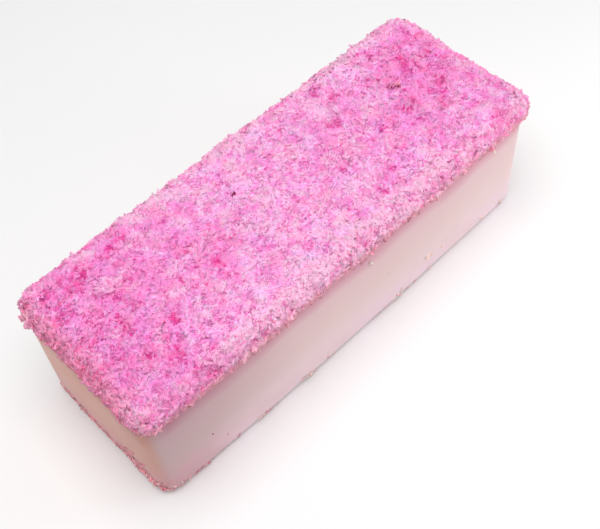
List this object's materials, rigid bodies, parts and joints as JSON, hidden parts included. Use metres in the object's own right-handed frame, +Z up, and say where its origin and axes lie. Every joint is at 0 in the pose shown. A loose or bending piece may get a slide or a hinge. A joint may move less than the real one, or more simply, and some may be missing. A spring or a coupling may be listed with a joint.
{
  "type": "bar of soap",
  "caption": "Long bar of cast white soap with softly rounded edges, a thin pink soap layer on top and a thick bed of grated pink soap crumbs pressed into it.",
  "frame": {"origin": "centre of the flat base, on the plane that the bar rests on", "axes": "+X along the length, +Y across the width towards the back long side, +Z up through the crumb bed"},
  "size_m": [0.2293, 0.0885, 0.0723],
  "materials": {
    "white_soap": "waxy satin, slightly translucent",
    "pink_soap": "waxy satin, translucent pink",
    "soap_crumbs": "grated flakes, matte to satin"
  },
  "bodies": {
    "root": {"white_block": "white_soap", "pink_pour": "pink_soap", "crumb_bed": "soap_crumbs"}
  },
  "joints": []
}
